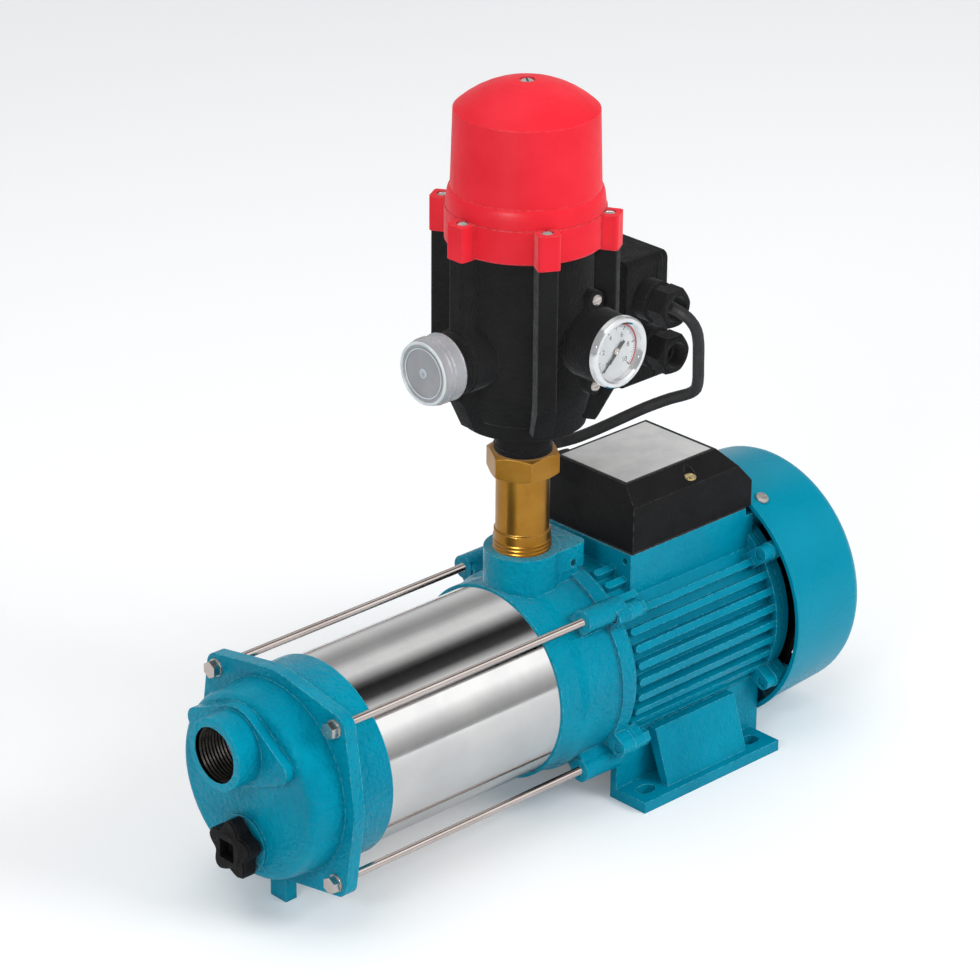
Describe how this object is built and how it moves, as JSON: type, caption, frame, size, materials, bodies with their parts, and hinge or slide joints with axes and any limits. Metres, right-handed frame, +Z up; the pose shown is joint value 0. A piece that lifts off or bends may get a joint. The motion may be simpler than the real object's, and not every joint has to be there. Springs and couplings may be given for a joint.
{
  "type": "multistage centrifugal pump with pressure controller",
  "caption": "Horizontal multistage centrifugal booster pump: finned motor, stainless barrel held by tie rods, threaded suction port, and an automatic pressure controller with a gauge on top.",
  "frame": {"origin": "centre of the four foot slots, on the plane the feet stand on", "axes": "+X parallel to the shaft, from the suction port to the motor; +Z up along the outlet; -Y the side with the gauge"},
  "size_m": [0.452, 0.1594, 0.4448],
  "materials": {
    "cast_paint": "gloss casting enamel",
    "sheet_paint": "gloss enamel on pressed steel",
    "stainless": "polished stainless sheet",
    "zinc_steel": "zinc-plated",
    "ground_steel": "ground",
    "core_steel": "laminated electrical steel",
    "rotor_aluminium": "die cast",
    "copper": "varnished copper wire",
    "moulding": "moulded engineering plastic",
    "black_plastic": "satin moulded nylon",
    "red_plastic": "satin moulded nylon",
    "grey_plastic": "soft translucent polyethylene",
    "brass": "machined",
    "rubber": "matte",
    "ceramic_ring": "lapped ceramic",
    "dial_white": "enamelled",
    "clear": "clear",
    "bright_metal": "bright plated",
    "white_plastic": "moulded"
  },
  "bodies": {
    "housing": {"suction_cover": "cast_paint", "barrel": "stainless", "barrel_gaskets": "rubber", "tie_rods": "zinc_steel", "tie_rod_washers": "zinc_steel", "stage_casing_1": "moulding", "stage_casing_2": "moulding", "stage_casing_3": "moulding", "stage_casing_4": "moulding", "stage_casing_5": "moulding", "seal_seat": "ceramic_ring", "discharge_bracket": "cast_paint", "motor_frame": "cast_paint", "stator_core": "core_steel", "stator_windings": "copper", "bearing_outer_rings": "ground_steel", "end_shield": "cast_paint", "motor_screws": "zinc_steel", "fan_cover": "sheet_paint", "fan_cover_screws": "zinc_steel", "terminal_box": "black_plastic", "box_gasket": "rubber", "box_screws": "zinc_steel", "terminal_block": "white_plastic", "capacitor": "white_plastic", "box_gland": "black_plastic", "brass_adapter": "brass", "controller_body": "black_plastic", "diaphragm": "rubber", "controller_cap": "red_plastic", "cap_screws": "zinc_steel", "valve_spring": "ground_steel", "gauge_case": "black_plastic", "gauge_bezel": "bright_metal", "gauge_dial": "dial_white", "gauge_lens": "clear", "gauge_screws": "zinc_steel", "control_box": "black_plastic", "control_cover": "black_plastic", "cable_glands": "black_plastic", "motor_lead": "rubber"},
    "rotor": {"impeller_1": "moulding", "impeller_2": "moulding", "impeller_3": "moulding", "impeller_4": "moulding", "impeller_5": "moulding", "shaft": "ground_steel", "impeller_nut": "zinc_steel", "seal_head": "rubber", "rotor_core": "rotor_aluminium", "bearing_inner_rings": "ground_steel", "bearing_balls": "ground_steel", "fan": "black_plastic"},
    "pointer": {"gauge_pointer": "black_plastic"},
    "outlet_cap": {"outlet_cap": "grey_plastic"},
    "valve": {"flow_valve": "bright_metal"},
    "button": {"restart_button": "red_plastic"},
    "drain_carrier": {"drain_seal": "rubber"},
    "drain_plug": {"drain_plug": "black_plastic"}
  },
  "joints": [
    {"name": "rotor_spin", "type": "hinge", "parent": "housing", "child": "rotor", "pos_m": [0, 0, 0.08], "axis": [1, 0, 0], "continuous": true},
    {"name": "gauge_needle", "type": "hinge", "parent": "housing", "child": "pointer", "pos_m": [-0.08, -0.063, 0.299], "axis": [0, 1, 0], "range_deg": [0, 270], "stiffness_Nm_per_rad": 0.0002, "springref_deg": -11.46},
    {"name": "outlet_cap_pull", "type": "slide", "parent": "housing", "child": "outlet_cap", "axis": [-1, 0, 0], "range_m": [0, 0.02]},
    {"name": "flow_valve_lift", "type": "slide", "parent": "housing", "child": "valve", "axis": [0, 0, 1], "range_m": [0, 0.008], "stiffness_N_per_m": 150, "springref_m": -0.01, "deforming": ["valve_spring"]},
    {"name": "restart_press", "type": "slide", "parent": "housing", "child": "button", "axis": [-1, 0, 0], "range_m": [0, 0.0025], "stiffness_N_per_m": 400, "springref_m": -0.001},
    {"name": "drain_plug_travel", "type": "slide", "parent": "housing", "child": "drain_carrier", "axis": [-1, 0, 0], "range_m": [0, 0.0108]},
    {"name": "drain_plug_turn", "type": "hinge", "parent": "drain_carrier", "child": "drain_plug", "pos_m": [-0.297, 0, 0.0454], "axis": [-1, 0, 0], "range_deg": [0, 2160]}
  ],
  "couplings": [
    {"joint": "drain_plug_travel", "follows": "drain_plug_turn", "m_per_rad": 0.00028648}
  ]
}
